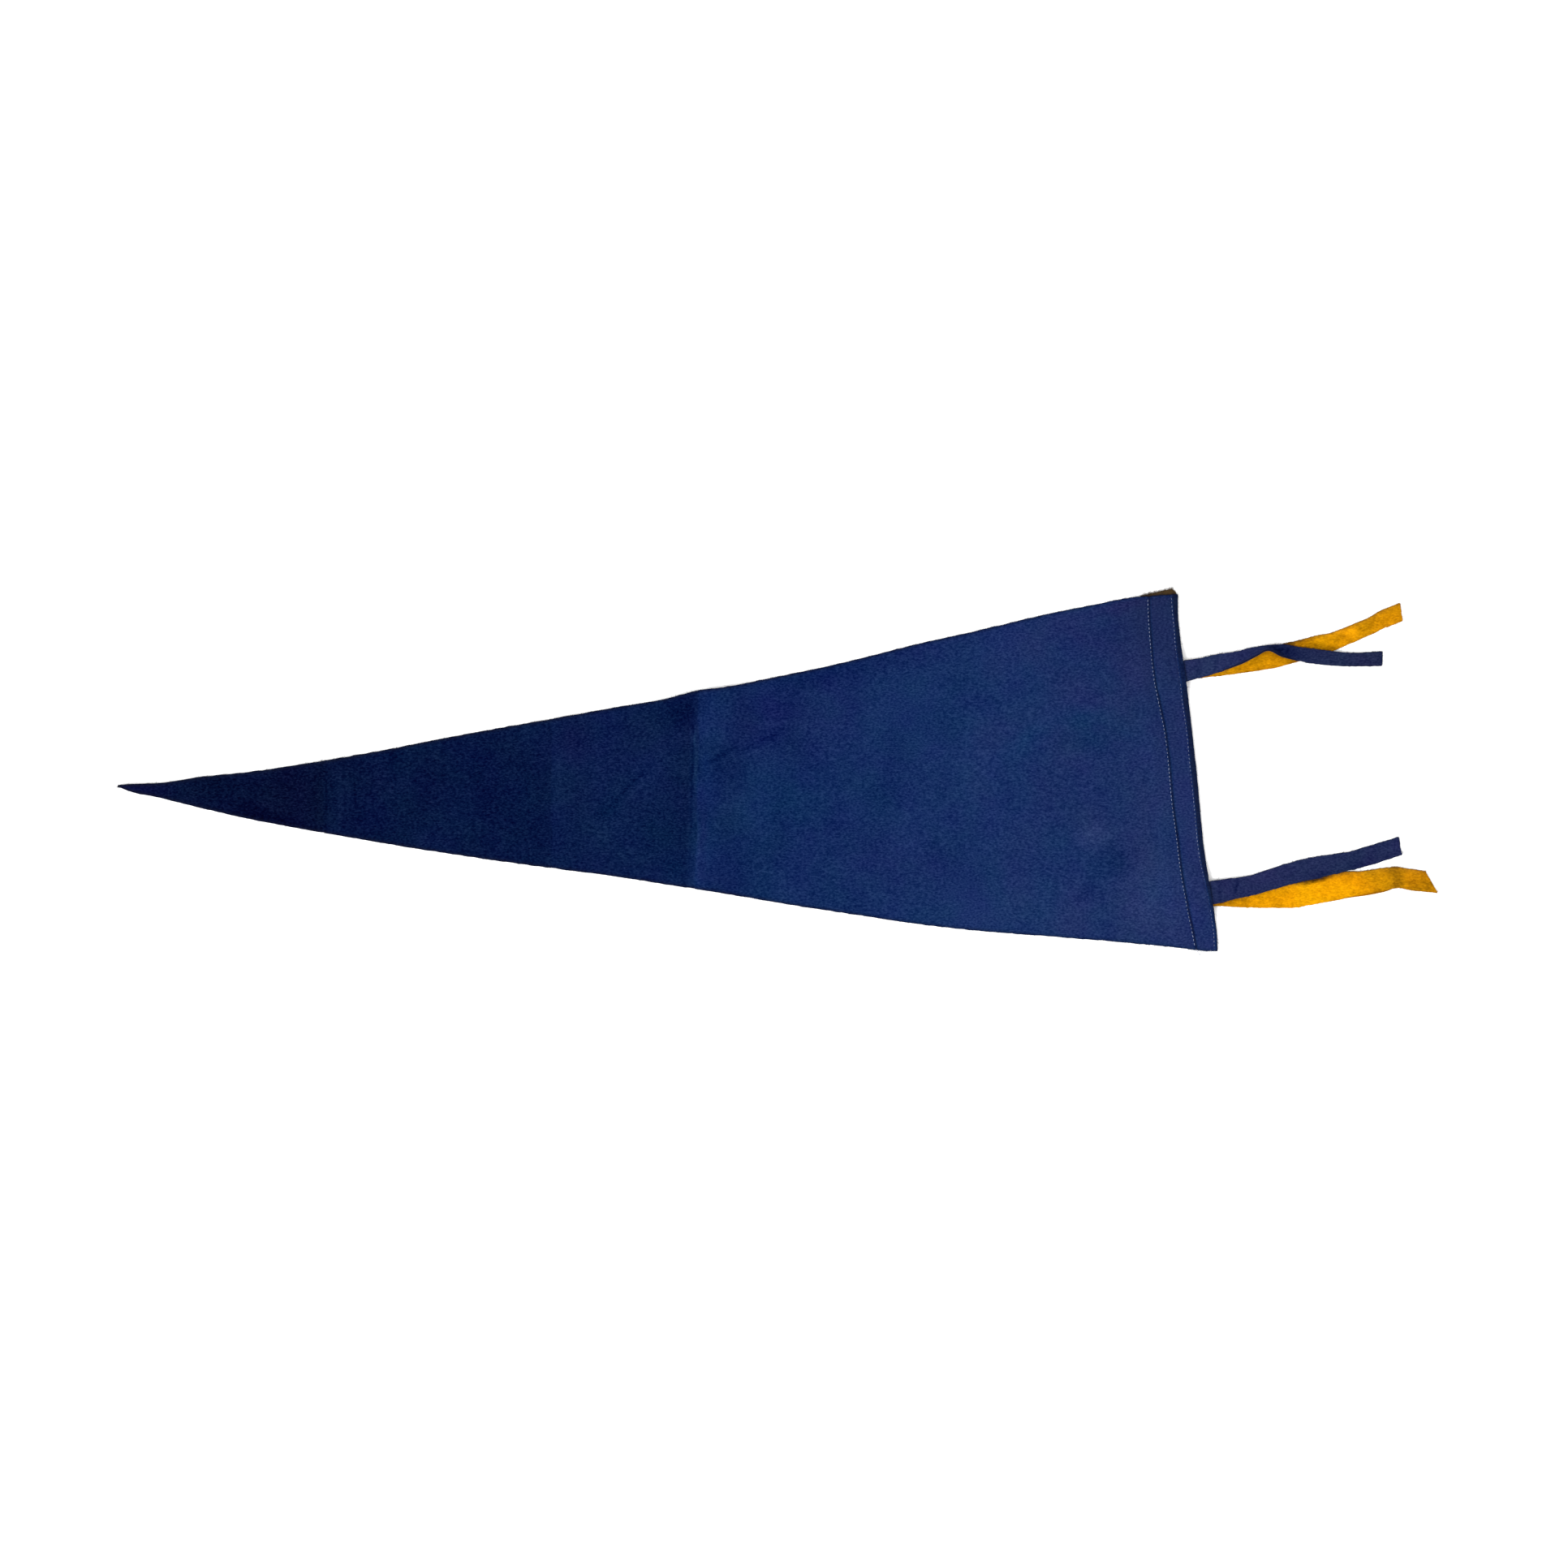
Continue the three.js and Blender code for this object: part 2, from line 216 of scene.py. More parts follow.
def looseFibres(middle, half, outward, depth):
    # a fibre at each of the given places of a cut: it leaves the cut outwards, and bends by the
    # square of its share of the way
    count = len(middle)
    start = middle + half * chance.uniform(*fibre["roots"], (count, 1))
    length = chance.gamma(*fibre["lengths"], (count, 1, 1)).clip(0, fibre["longest"])
    length = length + depth[:, None]
    share = np.linspace(0, 1, fibre["steps"])[None, :, None]
    level = [1, 1, fibre["rise"]]
    lean = unit(outward + chance.normal(0, fibre["stray"], (count, 3)) * level)[:, None]
    bend = chance.normal(0, fibre["curl"], (count, 1, 3)) * level
    paths = start[:, None] + length * (lean * share + bend * share**2)
    paths[..., 2] = np.maximum(paths[..., 2], fibre["radius"] * 1.5)  # none is in the table
    return threads(paths, upwards, fibre["radius"], fibre["sides"])


def threads(paths, ups, radius, sides=6):
    # A closed tube along each path, with one direction upwards or one for each point. A ring's
    # point is the path's, plus the radius times cosine sideways and sine upwards.
    count, steps = paths.shape[:2]
    run = unit(np.gradient(paths, axis=1))
    sideways = unit(np.cross(run, ups))
    over = np.cross(sideways, run)
    angle = np.linspace(0, 2 * np.pi, sides, endpoint=False)[:, None]
    taper = np.ones(steps)
    taper[[0, -1]] = 0.6  # each end is thinner
    reach = (radius * taper)[None, :, None, None]
    round_ = np.cos(angle) * sideways[:, :, None] + np.sin(angle) * over[:, :, None]
    points = (paths[:, :, None] + reach * round_).reshape(-1, 3)
    index = np.arange(count * steps * sides).reshape(count, steps, sides)
    beside = np.roll(index, -1, -1)
    walls = np.stack([index[:, :-1], index[:, 1:], beside[:, 1:], beside[:, :-1]], -1)
    faces = walls.reshape(-1, 4).tolist()
    faces += index[:, 0].tolist() + index[:, -1, ::-1].tolist()
    return points, faces


def joined(parts):
    # several point and face lists as one
    points, faces, used = [], [], 0
    for some, others in parts:
        points.append(some)
        faces += [[corner + used for corner in face] for face in others]
        used += len(some)
    return np.concatenate(points), faces


print("stage: felt and thread finishes")


def linear(hexColour):
    # an sRGB hex colour as the linear one that shaders take
    parts = np.array([int(hexColour[i : i + 2], 16) for i in (1, 3, 5)]) / 255
    parts = np.where(parts <= 0.04045, parts / 12.92, ((parts + 0.055) / 1.055) ** 2.4)
    return (*parts.tolist(), 1.0)


def addNode(tree, kind, inputs=None, **settings):
    # a shader node with its settings, and for each input a value or the socket that feeds it
    node = tree.nodes.new("ShaderNode" + kind)
    for key, value in settings.items():
        setattr(node, key, value)
    for key, value in (inputs or {}).items():
        if isinstance(value, bpy.types.NodeSocket):
            tree.links.new(value, node.inputs[key])
        else:
            node.inputs[key].default_value = value
    return node


def newMaterial(name):
    material = bpy.data.materials.new(name)
    material.use_nodes = True
    tree = material.node_tree
    tree.nodes.clear()
    return material, tree


def creaseShadeAndPatches(tree, place, colour, look):
    # Painted shade and highlights of creases and dents, painted shadows, and paler and darker
    # patches
    # are soft ellipses: 1 in the middle and 0 at the rim, with that rim pushed about by noise.
    # Each is a step added to the colour's gamma value.
    wander = addNode(
        tree, "TexNoise", {"Vector": place, "Scale": 1 / (look["wanderSize"] * mm), "Detail": 2.0}
    ).outputs["Color"]
    for x, y, turn, halfLong, halfWide, tone, warmth in look["marks"]:
        push = min(halfWide * look["wanderShare"], look["wander"]) * mm
        away = addNode(
            tree,
            "VectorMath",
            {0: wander, 1: (2 * push, 2 * push, 0.0), 2: place},
            operation="MULTIPLY_ADD",
        ).outputs[0]
        local = addNode(
            tree,
            "Mapping",
            {
                "Vector": away,
                "Location": (x * mm + push, y * mm + push, 0.0),
                "Rotation": (0.0, 0.0, np.radians(turn)),
                "Scale": (halfLong * mm, halfWide * mm, 1.0),
            },
            vector_type="TEXTURE",
        ).outputs["Vector"]
        spot = addNode(tree, "TexGradient", {"Vector": local}, gradient_type="SPHERICAL")
        levels = np.array([tone + warmth / 2, tone - warmth / 2, tone]) * look["stepTint"]
        colour = addNode(
            tree,
            "VectorMath",
            {0: spot.outputs["Fac"], 1: levels / 255, 2: colour},
            operation="MULTIPLY_ADD",
        ).outputs[0]
    return colour


def woolFelt(name, look):
    # Pressed wool felt: a dry, matt mat of short fibres with a soft nap. It shows small clumps,
    # a slight run of the grain along the piece, patches where the dye took differently, and a
    # pale bloom where the nap is seen from the side.
    material, tree = newMaterial(name)
    place = addNode(tree, "TexCoord").outputs["Object"]
    along = addNode(tree, "Mapping", {"Vector": place, "Scale": look["grainRun"]})
    grain = along.outputs["Vector"]
    # as marked on each piece: tone with painted shade, grime with painted shade, and the painted
    # shade of cut edges
    fade, grimeAndShade, cutEdgeShade = (
        addNode(tree, "Attribute", attribute_name=key).outputs["Fac"]
        for key in ("fade", "grimeAndShade", "cutEdgeShade")
    )
    # Each kind of unevenness has its own size. Noise lies mostly between 0.3 and 0.7, and is
    # spread to the reach of its step on both sides of zero.
    noises, spreads = {}, {}
    for key, vector, detail, roughness, reach in (
        ("clump", grain, 3.0, 0.6, look["clumpStep"]),
        ("fibre", grain, 2.0, 0.55, look["fibreStep"]),
        ("patch", place, 2.0, 0.55, look["hueShift"]),
        ("cloud", place, 1.0, 0.55, look["cloudStep"]),
    ):
        scale = 1 / (look[key + "Size"] * mm)
        uneven = {"Vector": vector, "Scale": scale, "Detail": detail, "Roughness": roughness}
        noises[key] = addNode(tree, "TexNoise", uneven).outputs["Fac"]
        middle = 0.5 if key == "patch" else 0.0  # a hue of 0.5 is no change
        spread = {"Value": noises[key], "From Min": 0.3, "From Max": 0.7}
        spread |= {"To Min": middle - reach, "To Max": middle + reach}
        spreads[key] = addNode(tree, "MapRange", spread).outputs["Result"]

    dye = addNode(tree, "ValToRGB", {"Fac": fade})
    ramp = dye.color_ramp
    while len(ramp.elements) < len(look["dyes"]):
        ramp.elements.new(0.5)
    for stop, (share, colour) in zip(ramp.elements, look["dyes"]):
        stop.position = share
        stop.color = linear(colour)

    tinted = {"Color": dye.outputs["Color"], "Hue": spreads["patch"]}
    dyed = addNode(tree, "HueSaturation", tinted)

    # Fibres and clumps differ by steps that look even to the eye, so they are added to the
    # colour's gamma value and not to its light.
    steps = spreads["fibre"]
    for key in ("clump", "cloud"):
        steps = addNode(tree, "Math", {0: steps, 1: spreads[key]}, operation="ADD").outputs[0]
    seen = addNode(tree, "Gamma", {"Color": dyed.outputs["Color"], "Gamma": 1 / 2.2})
    stepped = addNode(
        tree,
        "VectorMath",
        {0: steps, 1: look["stepTint"], 2: seen.outputs["Color"]},
        operation="MULTIPLY_ADD",
    ).outputs[0]
    # painted crease shade and highlights, painted shadows, and patches, from the look's marks
    stepped = creaseShadeAndPatches(tree, place, stepped, look)
    stepped = addNode(
        tree, "VectorMath", {0: stepped, 1: (0.0, 0.0, 0.0)}, operation="MAXIMUM"
    ).outputs[0]
    dyed = addNode(tree, "Gamma", {"Color": stepped, "Gamma": 2.2}).outputs["Color"]

    # the rim of each cut edge is mixed towards a darker colour: painted shade where the rounded
    # edge falls off steeply
    edge = {"Value": cutEdgeShade, "From Min": 0.15, "From Max": 0.85, "To Max": look["edgeDepth"]}
    edgeShade = addNode(tree, "MapRange", edge).outputs["Result"]
    edged = addNode(
        tree, "Mix", {0: edgeShade, 6: dyed, 7: linear(look["cutEdgeShade"])}, data_type="RGBA"
    ).outputs[2]
    # then towards the grime colour, where each piece marks soil and painted shade
    darkened = addNode(
        tree, "Mix", {0: grimeAndShade, 6: edged, 7: linear(look["grimeAndShade"])}, data_type="RGBA"
    ).outputs[2]

    height = addNode(
        tree,
        "Math",
        {0: noises["clump"], 1: look["clumpHeight"], 2: noises["fibre"]},
        operation="MULTIPLY_ADD",
    ).outputs[0]
    nap = {"Height": height, "Strength": look["bump"], "Distance": look["bumpHeight"] * mm}
    bump = addNode(tree, "Bump", nap)
    shader = addNode(
        tree,
        "BsdfPrincipled",
        {
            "Base Color": darkened,
            "Normal": bump.outputs["Normal"],
            "Roughness": 0.95,
            "IOR": 1.5,
            "Specular IOR Level": look["specular"],
            "Sheen Weight": look["sheen"],
            "Sheen Roughness": 0.5,
            "Sheen Tint": linear(look["sheenTint"]),
        },
    )
    addNode(tree, "OutputMaterial", {"Surface": shader.outputs["BSDF"]})
    return material


# Real clumps of fibre in such felt are 1 to 3 mm, and single fibres about 0.03 mm. The fibres
# are drawn 1 mm wide, because finer ones don't show at this size.
feltGrain = {
    "grainRun": (0.55, 1.0, 1.0),  # clumps lie stretched along the piece
    "clumpSize": 2.4,
    "fibreSize": 0.95,
    "patchSize": 26.0,
    "cloudSize": 55.0,
    "clumpHeight": 0.5,
    "bump": 0.6,
    "bumpHeight": 0.2,
    "specular": 0.01,
    "sheen": 0.05,
    "sheenTint": "#6078c8",
    "edgeDepth": 0.75,  # how far a cut edge takes its painted shade colour
    "stepTint": (1.0, 1.0, 1.0),  # how much of a step each of red, green and blue takes
    "wanderSize": 14.0,
    "wander": 4.0,  # how far a mark's rim is pushed at most
    "wanderShare": 0.7,  # and as a share of the mark's half width
}

# marks on the felt, among them painted crease shade and highlights: x, y, turn in degrees,
# half length, half width, how many levels of 255 paler, and how many warmer
navyMarks = [
    # painted shade and highlights of the creases beside the main fold
    [-321.2, -8, 88.5, 66, 1.3, -9, 0],
    [-318.6, 3, 89, 26, 1.2, 7, -2],
    [-316.2, 2, 90, 14, 1.0, -7, 0],
    [-317, -50, 90, 30, 2.6, 5, 0],
    [-319.4, 21, 84, 7, 1.3, 14, -5],
    [-303, 10, 30, 17, 2.6, -11, 0],
    [-276, 20, 26, 26, 1.8, -9, 0],
    [-284, 11, 24, 18, 1.6, 7, 0],
    # painted shade and highlights beside the fold near the tip
    [-562.5, -17, 90, 32, 1.3, -6, 0],
    [-553, -17, 90, 30, 2.2, 6, 0],
    [-543.5, -15, 91, 30, 1.3, -5, 0],
    [-547.5, -15, 90, 30, 2.0, 5, 0],
    [-362, -9, 45, 28, 2.0, -8, 0],
    [-356, -10, 45, 24, 1.8, 5, 0],
    # painted light and shade of a dimple in the lower right, and of the wrinkle that leads to it
    [-57, -41, 20, 14, 11, 10, 0],
    [-42, -58, 0, 20, 15, -8, 0],
    [-60, -78, 50, 18, 5, -7, 0],
    # paler and darker patches
    [-331, 38, 15, 20, 15, -8, 0],
    [-331, -64, -10, 15, 13, -4, -3],
    [-268, 41, 0, 22, 14, -4, 0],
    [-264, 21, 0, 20, 11, -4, 0],
    [-290, -20, 0, 26, 20, 7, -2],
    [-500, -45, 90, 10, 8, 7, 0],
    [-517, 8, 0, 10, 8, -7, 0],
    [-377, -25, 40, 13, 8, -6, -2],
    [-605, -30, -16, 50, 9, -9, 2],
    [-630, -10, -4, 30, 12, -5, 0],
    [-18, -85, 80, 40, 28, 7, 0],
    [-55, 22, 0, 28, 20, -5, -4],
    [-195, -15, 0, 18, 16, -6, 0],
    [-170, 81, 17, 100, 13, -5, 4],
    [-243, 62, 14, 40, 9, -5, 0],
    # where the blue has turned warmer or cooler
    [-262, 36, 8, 72, 40, 0, 6],
    [-66, 88, -30, 42, 16, 0, 5],
    [-34, 110, 14, 36, 8, 0, 7],
    [-98, 22, 35, 30, 10, 0, -5],
    [-62, 37, 0, 30, 10, 0, -6],
    [-32, 25, -35, 32, 10, 0, -5],
    [-165, 36, 0, 55, 34, 0, -2],
    [-185, -60, -12, 75, 30, 0, 3],
    [-105, -90, -5, 95, 22, 2.5, 0],
    [-66, -60, 0, 44, 28, 0, -2],
    [-350, -42, -12, 52, 34, 0, -3],
    [-262, -20, 0, 44, 30, 0, -3],
    [-314.5, -40, 90, 44, 5.0, 0, 6],
    [-690, -11, 0, 28, 14, 2, 7],
    [-400, 20, 0, 18, 22, 0, 4],
]
navyLook = feltGrain | {
    # dark towards the tip and paler towards the heading: the dye's tone, with painted shade where
    # less light falls towards the tip
    "dyes": [
        (0.0, "#020720"), (0.25, "#020c2a"), (0.45, "#051233"),
        (0.65, "#081b40"), (0.85, "#0f2148"), (1.0, "#172248"),
    ],
    "fibreStep": 0.043,
    "clumpStep": 0.005,
    "cloudStep": 0.006,
    "hueShift": 0.006,
    "marks": navyMarks,
    "grimeAndShade": "#10131f",
    "cutEdgeShade": "#050712",
}
navyFelt = woolFelt("navyWoolFelt", navyLook)

# painted shade of wrinkles close to the seam and of the turned part of the upper tie, and darker
# and paler spots on the lower tie; columns as for the navy
blueMarks = [
    [37.5, -76, 80, 9, 1.8, -14, 0],
    [27, -79, 85, 9, 2.0, -9, 0],
    [17, -81, 88, 10, 3.5, -9, 0],
    [12, 66, 85, 10, 3.5, -8, 0],
    [24, 70, 75, 9, 1.8, -6, 0],
    [69, 79, -10, 16, 6, -14, 0],
    [118, -62, 12, 14, 5, -7, 0],
    [92, -68, 12, 12, 3, -8, 0],
    [55, -68, 20, 14, 5, 5, 0],
]
blueLook = feltGrain | {
    "dyes": [(0.0, "#171d32"), (0.5, "#161c3c"), (1.0, "#1b2445")],
    "fibreStep": 0.035,
    "clumpStep": 0.006,
    "cloudStep": 0.005,
    "hueShift": 0.01,
    "marks": blueMarks,
    "grimeAndShade": "#171b2b",
    "cutEdgeShade": "#070915",
}
blueFelt = woolFelt("blueWoolFelt", blueLook)

# painted shadow where the blue ties' edges shade them, and paler and darker spots; columns as for
# the navy
goldMarks = [
    [90, -71.6, 12, 15, 2.6, -100, 0],
    [77, 86, 14, 16, 4.5, -75, 0],
    [97, 81.5, -8, 18, 3.0, -55, 0],
    [76, 72.5, -12, 9, 4.0, -35, 0],
    [44, 63.5, 12, 16, 3.0, -40, 0],
    [30, -86, 12, 20, 3.0, -30, 0],
    [113, 92, 30, 6, 3, 30, 0],
    [126, 97, 20, 10, 4, -28, 0],
    [104, 86, 20, 7, 4, -26, 0],
    [59, 71, 10, 8, 4, 16, 0],
]
goldLook = feltGrain | {
    "cloudSize": 9.0,
    "dyes": [(0.0, "#754d04"), (0.5, "#a56e03"), (1.0, "#c18202")],
    "fibreStep": 0.07,
    "clumpStep": 0.065,
    "cloudStep": 0.03,
    "stepTint": (1.0, 0.68, 0.1),
    "hueShift": 0.005,
    "marks": goldMarks,
    "grimeAndShade": "#2b241b",
    "cutEdgeShade": "#633b0b",
    "edgeDepth": 0.6,
    "sheen": 0.08,
    "sheenTint": "#ffb050",
}
goldFelt = woolFelt("goldWoolFelt", goldLook)


def cottonThread(name, look):
    # Mercerised cotton sewing thread, aged: pale, slightly uneven, with a soft low lustre.
    material, tree = newMaterial(name)
    place = addNode(tree, "TexCoord").outputs["Object"]
    darkening = addNode(
        tree, "TexNoise", {"Vector": place, "Scale": 1 / (look["soilSize"] * mm), "Detail": 2.0}
    ).outputs["Fac"]
    darkening = addNode(
        tree, "MapRange", {"Value": darkening, "From Min": 0.35, "From Max": 0.65}
    ).outputs["Result"]
    colours = {0: darkening, 6: linear(look["clean"]), 7: linear(look["darkened"])}
    colour = addNode(tree, "Mix", colours, data_type="RGBA").outputs[2]
    shader = addNode(
        tree,
        "BsdfPrincipled",
        {
            "Base Color": colour,
            "Roughness": 0.75,
            "IOR": 1.53,
            "Specular IOR Level": 0.3,
            "Sheen Weight": 0.1,
        },
    )
    addNode(tree, "OutputMaterial", {"Surface": shader.outputs["BSDF"]})
    return material


thread = cottonThread("cottonThread", {"clean": "#7d849e", "darkened": "#555c6e", "soilSize": 6.0})

print("stage: heading strip and ties")

strip = {
    # from its upper end to its lower one: x and y on the inner edge, x and y on the outer edge
    "sections": [
        [-24.4, 115.5, -4.6, 119.9],
        [-24.9, 112.8, -1.3, 117.2],
        [-24.7, 106.5, -2.1, 106.5],
        [-23.9, 89.0, -0.9, 89.0],
        [-20.6, 64.3, 2.4, 64.3],
        [-14.2, 27.9, 7.0, 27.9],
        [-7.8, -26.8, 12.9, -26.8],
        [-4.3, -54.7, 15.7, -54.7],
        [-1.1, -76.6, 19.3, -76.6],
        [4.0, -105.1, 23.3, -105.1],
        [5.9, -115.8, 23.9, -117.1],
    ],
    "steps": 220,  # divisions from end to end
    "lanes": 60,
    "insets": (0.04, 0.02),  # room for the rim, as a share of a row and of the width
    "seamPull": 0.45,  # how far the stitches pull its underside up
    "seamReach": 0.6,
    "flat": (0.022, 0.239),  # the cut piece laid flat, in metres
    "fade": 0.45,
    "endGrimeAndShade": 0.96,  # the end that shows is soiled and darkened with painted shade, and clean again after these rows
    "endRows": (1.3, 3.0),
    "endHairs": 420,
    "bareRows": 0.3,
}
stripOutline = outlineOf(strip["sections"])
stripRows = np.array(strip["sections"])


def stripBed(x, y):
    return stripLevel * cover(stripOutline, x, y)


def tieThickness(x, y):
    # thin in the seam, and full again a little way out past the strip
    out = x - np.interp(-y, -stripRows[:, 3], stripRows[:, 2])
    start = cloth["pressMargin"]
    share = ease(out, start, start + cloth["pressRun"])
    return cloth["sewnFelt"] + (cloth["felt"] - cloth["sewnFelt"]) * share


def bedOnGold(goldRows):
    # a blue tie lies on the gold one, and beside that on the strip or the table
    outline = outlineOf([row[:4] for row in goldRows])

    def bed(x, y):
        rise = tieThickness(x, y) + cloth["gap"]
        return stripBed(x, y) + rise * cover(outline, x, y)

    return bed


# A tie has a row for each section from the sewn root to the free end: x and y on the upper
# edge, x and y on the lower edge, and how high the lower edge is crimped up off its bed.
tieShapes = {
    "tieUpperGold": {
        "node": "tie_upper_gold",
        "sections": [
            [-5.4, 71.6, -4.3, 60.3, 0],
            [3.2, 72.2, 5.1, 61.1, 0],
            [15.0, 73.7, 16.6, 61.6, 0],
            [36.4, 76.4, 39.1, 64.4, 0],
            [57.9, 80.7, 61.1, 67.6, 0],
            [68.6, 84.3, 72.9, 70.4, 0],
            [79.3, 86.6, 84.7, 74.0, 0],
            [90.0, 89.5, 96.5, 77.5, 0],
            [100.8, 91.7, 106.1, 80.9, 0],
            [122.2, 100.0, 127.6, 90.6, 0],
            [132.9, 105.9, 138.3, 95.4, 0],
            [145.8, 111.3, 147.8, 99.0, 0],
        ],
        # tone of the dye along the tie, with painted light and shade where it bends: share of its
        # length, tone and shade
        "fade": [[0, 0.35], [0.3, 0.5], [0.5, 0.55], [0.68, 0.8], [0.8, 0.55], [1, 0.5]],
        "material": goldFelt,
        "slot": "gold_felt",
        "flat": (0.0132, 0.1600),
        "restsOn": ["heading_strip"],
        "under": "tieUpperBlue",
        # share of its length, how much darker above the blue tie, and below it
        "shade": [[0, 0, 0], [0.35, 0.2, 0.1], [0.45, 0.8, 0], [0.66, 0.8, 0.3], [0.8, 0, 0]],
        "edgeSoilAndShade": (0.6, 0.15),
    },
    "tieUpperBlue": {
        "node": "tie_upper_blue",
        "sections": [
            [-5.4, 72.4, -4.3, 58.4, 0],
            [3.2, 73.2, 5.1, 59.2, 0],
            [15.0, 75.0, 17.2, 62.4, 0],
            [25.7, 77.6, 28.9, 66.2, 1],
            [36.4, 79.0, 40.2, 70.3, 4],
            [47.2, 81.5, 49.3, 75.0, 5.5],
            [57.9, 82.9, 57.4, 78.9, 7.5],
            [68.6, 83.9, 67.0, 75.3, 3],
            [79.3, 82.0, 77.7, 72.9, 0.5],
            [90.0, 80.6, 89.0, 70.9, 0],
            [111.5, 78.3, 111.0, 69.3, 0],
            [134.8, 79.2, 134.4, 69.4, 0],
        ],
        "fade": [[0, 1.0], [0.4, 0.9], [0.6, 0.5], [0.8, 0.4], [1, 0.2]],
        "material": blueFelt,
        "slot": "blue_tie_felt",
        "flat": (0.0132, 0.1420),
        "restsOn": ["tie_upper_gold", "heading_strip"],
        "on": "tieUpperGold",
        "edgeSoilAndShade": (0.3, 0.3),
    },
    "tieLowerGold": {
        "node": "tie_lower_gold",
        "sections": [
            [11.3, -75.0, 12.9, -89.5, 0],
            [20.4, -75.3, 22.0, -89.0, 0],
            [41.8, -76.4, 41.8, -89.9, 0],
            [52.5, -76.4, 52.5, -90.2, 0],
            [74.0, -74.0, 75.0, -90.4, 0],
            [85.8, -71.4, 87.4, -88.5, 0],
            [107.2, -65.8, 109.9, -83.9, 1.2],
            [120.0, -65.4, 122.5, -82.0, 3.2],
            [134.0, -63.3, 135.0, -79.6, 2.4],
            [143.6, -62.9, 143.9, -77.2, 0.2],
            [153.0, -64.0, 154.5, -78.6, 0.9],
            [162.3, -65.6, 171.0, -80.6, 0.2],
        ],
        "fade": [
            [0, 0.4], [0.18, 0.6], [0.3, 0.85], [0.45, 0.95], [0.6, 0.9], [0.66, 0.55],
            [0.75, 0.45], [0.8, 0.12], [0.84, 0.2], [0.88, 0.4], [1, 0.3],
        ],
        "material": goldFelt,
        "slot": "gold_felt",
        "flat": (0.0160, 0.1600),
        "restsOn": ["heading_strip"],
        "under": "tieLowerBlue",
        "shade": [[0, 0, 0.2], [0.35, 0, 0.3], [0.47, 0, 0.9], [0.63, 0, 0.9], [0.72, 0, 0]],
        "edgeSoilAndShade": (0.6, 0.15),
    },
    "tieLowerBlue": {
        "node": "tie_lower_blue",
        "sections": [
            [11.3, -72.9, 13.4, -89.0, 0],
            [20.4, -72.2, 22.5, -88.0, 0],
            [36.4, -70.2, 38.6, -84.0, 0],
            [47.2, -68.6, 50.9, -81.4, 0],
            [68.6, -61.6, 72.9, -74.9, 0],
            [79.3, -58.4, 83.1, -72.5, 0],
            [90.0, -56.2, 92.7, -70.5, 0],
            [100.8, -54.8, 102.9, -67.7, 0],
            [111.5, -53.1, 114.2, -65.2, 0],
            [122.2, -50.1, 125.4, -62.3, 0],
            [145.3, -43.1, 147.4, -55.4, 0],
        ],
        "fade": [[0, 0.8], [0.3, 0.7], [1, 0.55]],
        "material": blueFelt,
        "slot": "blue_tie_felt",
        "flat": (0.0150, 0.1390),
        "restsOn": ["tie_lower_gold", "heading_strip"],
        "on": "tieLowerGold",
        "edgeSoilAndShade": (0.3, 0.3),
    },
}
tieBuild = {
    "steps": 170,
    "lanes": 18,
    "inset": 0.04,  # room for the rim, as a share of a row and of the width
    "slopeStep": (0.02, 0.01),
    "lump": 0.05,
    "lumpSize": 9.0,
    "shadeReach": 1.6,
    "soilAndShadeReach": 1.0,
    "hairs": 240,
    "hairsFrom": 6.0,  # only this far past the strip, where a tie is bare
}


def tieSurface(rows, bed, uneven):
    # Both edges are smooth curves through the rows. Across, the section rises towards a crimped
    # lower edge as a quarter of an ellipse does: height = crimp times (1 - cosine of the turn).
    rows = np.array(rows)
    knots = np.arange(len(rows))

    def surface(u, v):
        u, v = np.broadcast_arrays(u, v)
        x, y, farX, farY, crimp = (smoothRead(knots, rows[:, k], u) for k in range(5))
        crimp = np.maximum(crimp, 0)
        turn = v * np.pi / 2
        share = v + (np.sin(turn) - v) * np.minimum(crimp / cloth["felt"], 1)
        x, y = x + (farX - x) * share, y + (farY - y) * share
        z = bed(x, y) + crimp * (1 - np.cos(turn))
        felt = tieThickness(x, y) * (1 + tieBuild["lump"] * uneven(x, y))
        return np.stack([x, y, z], -1), felt

    return surface


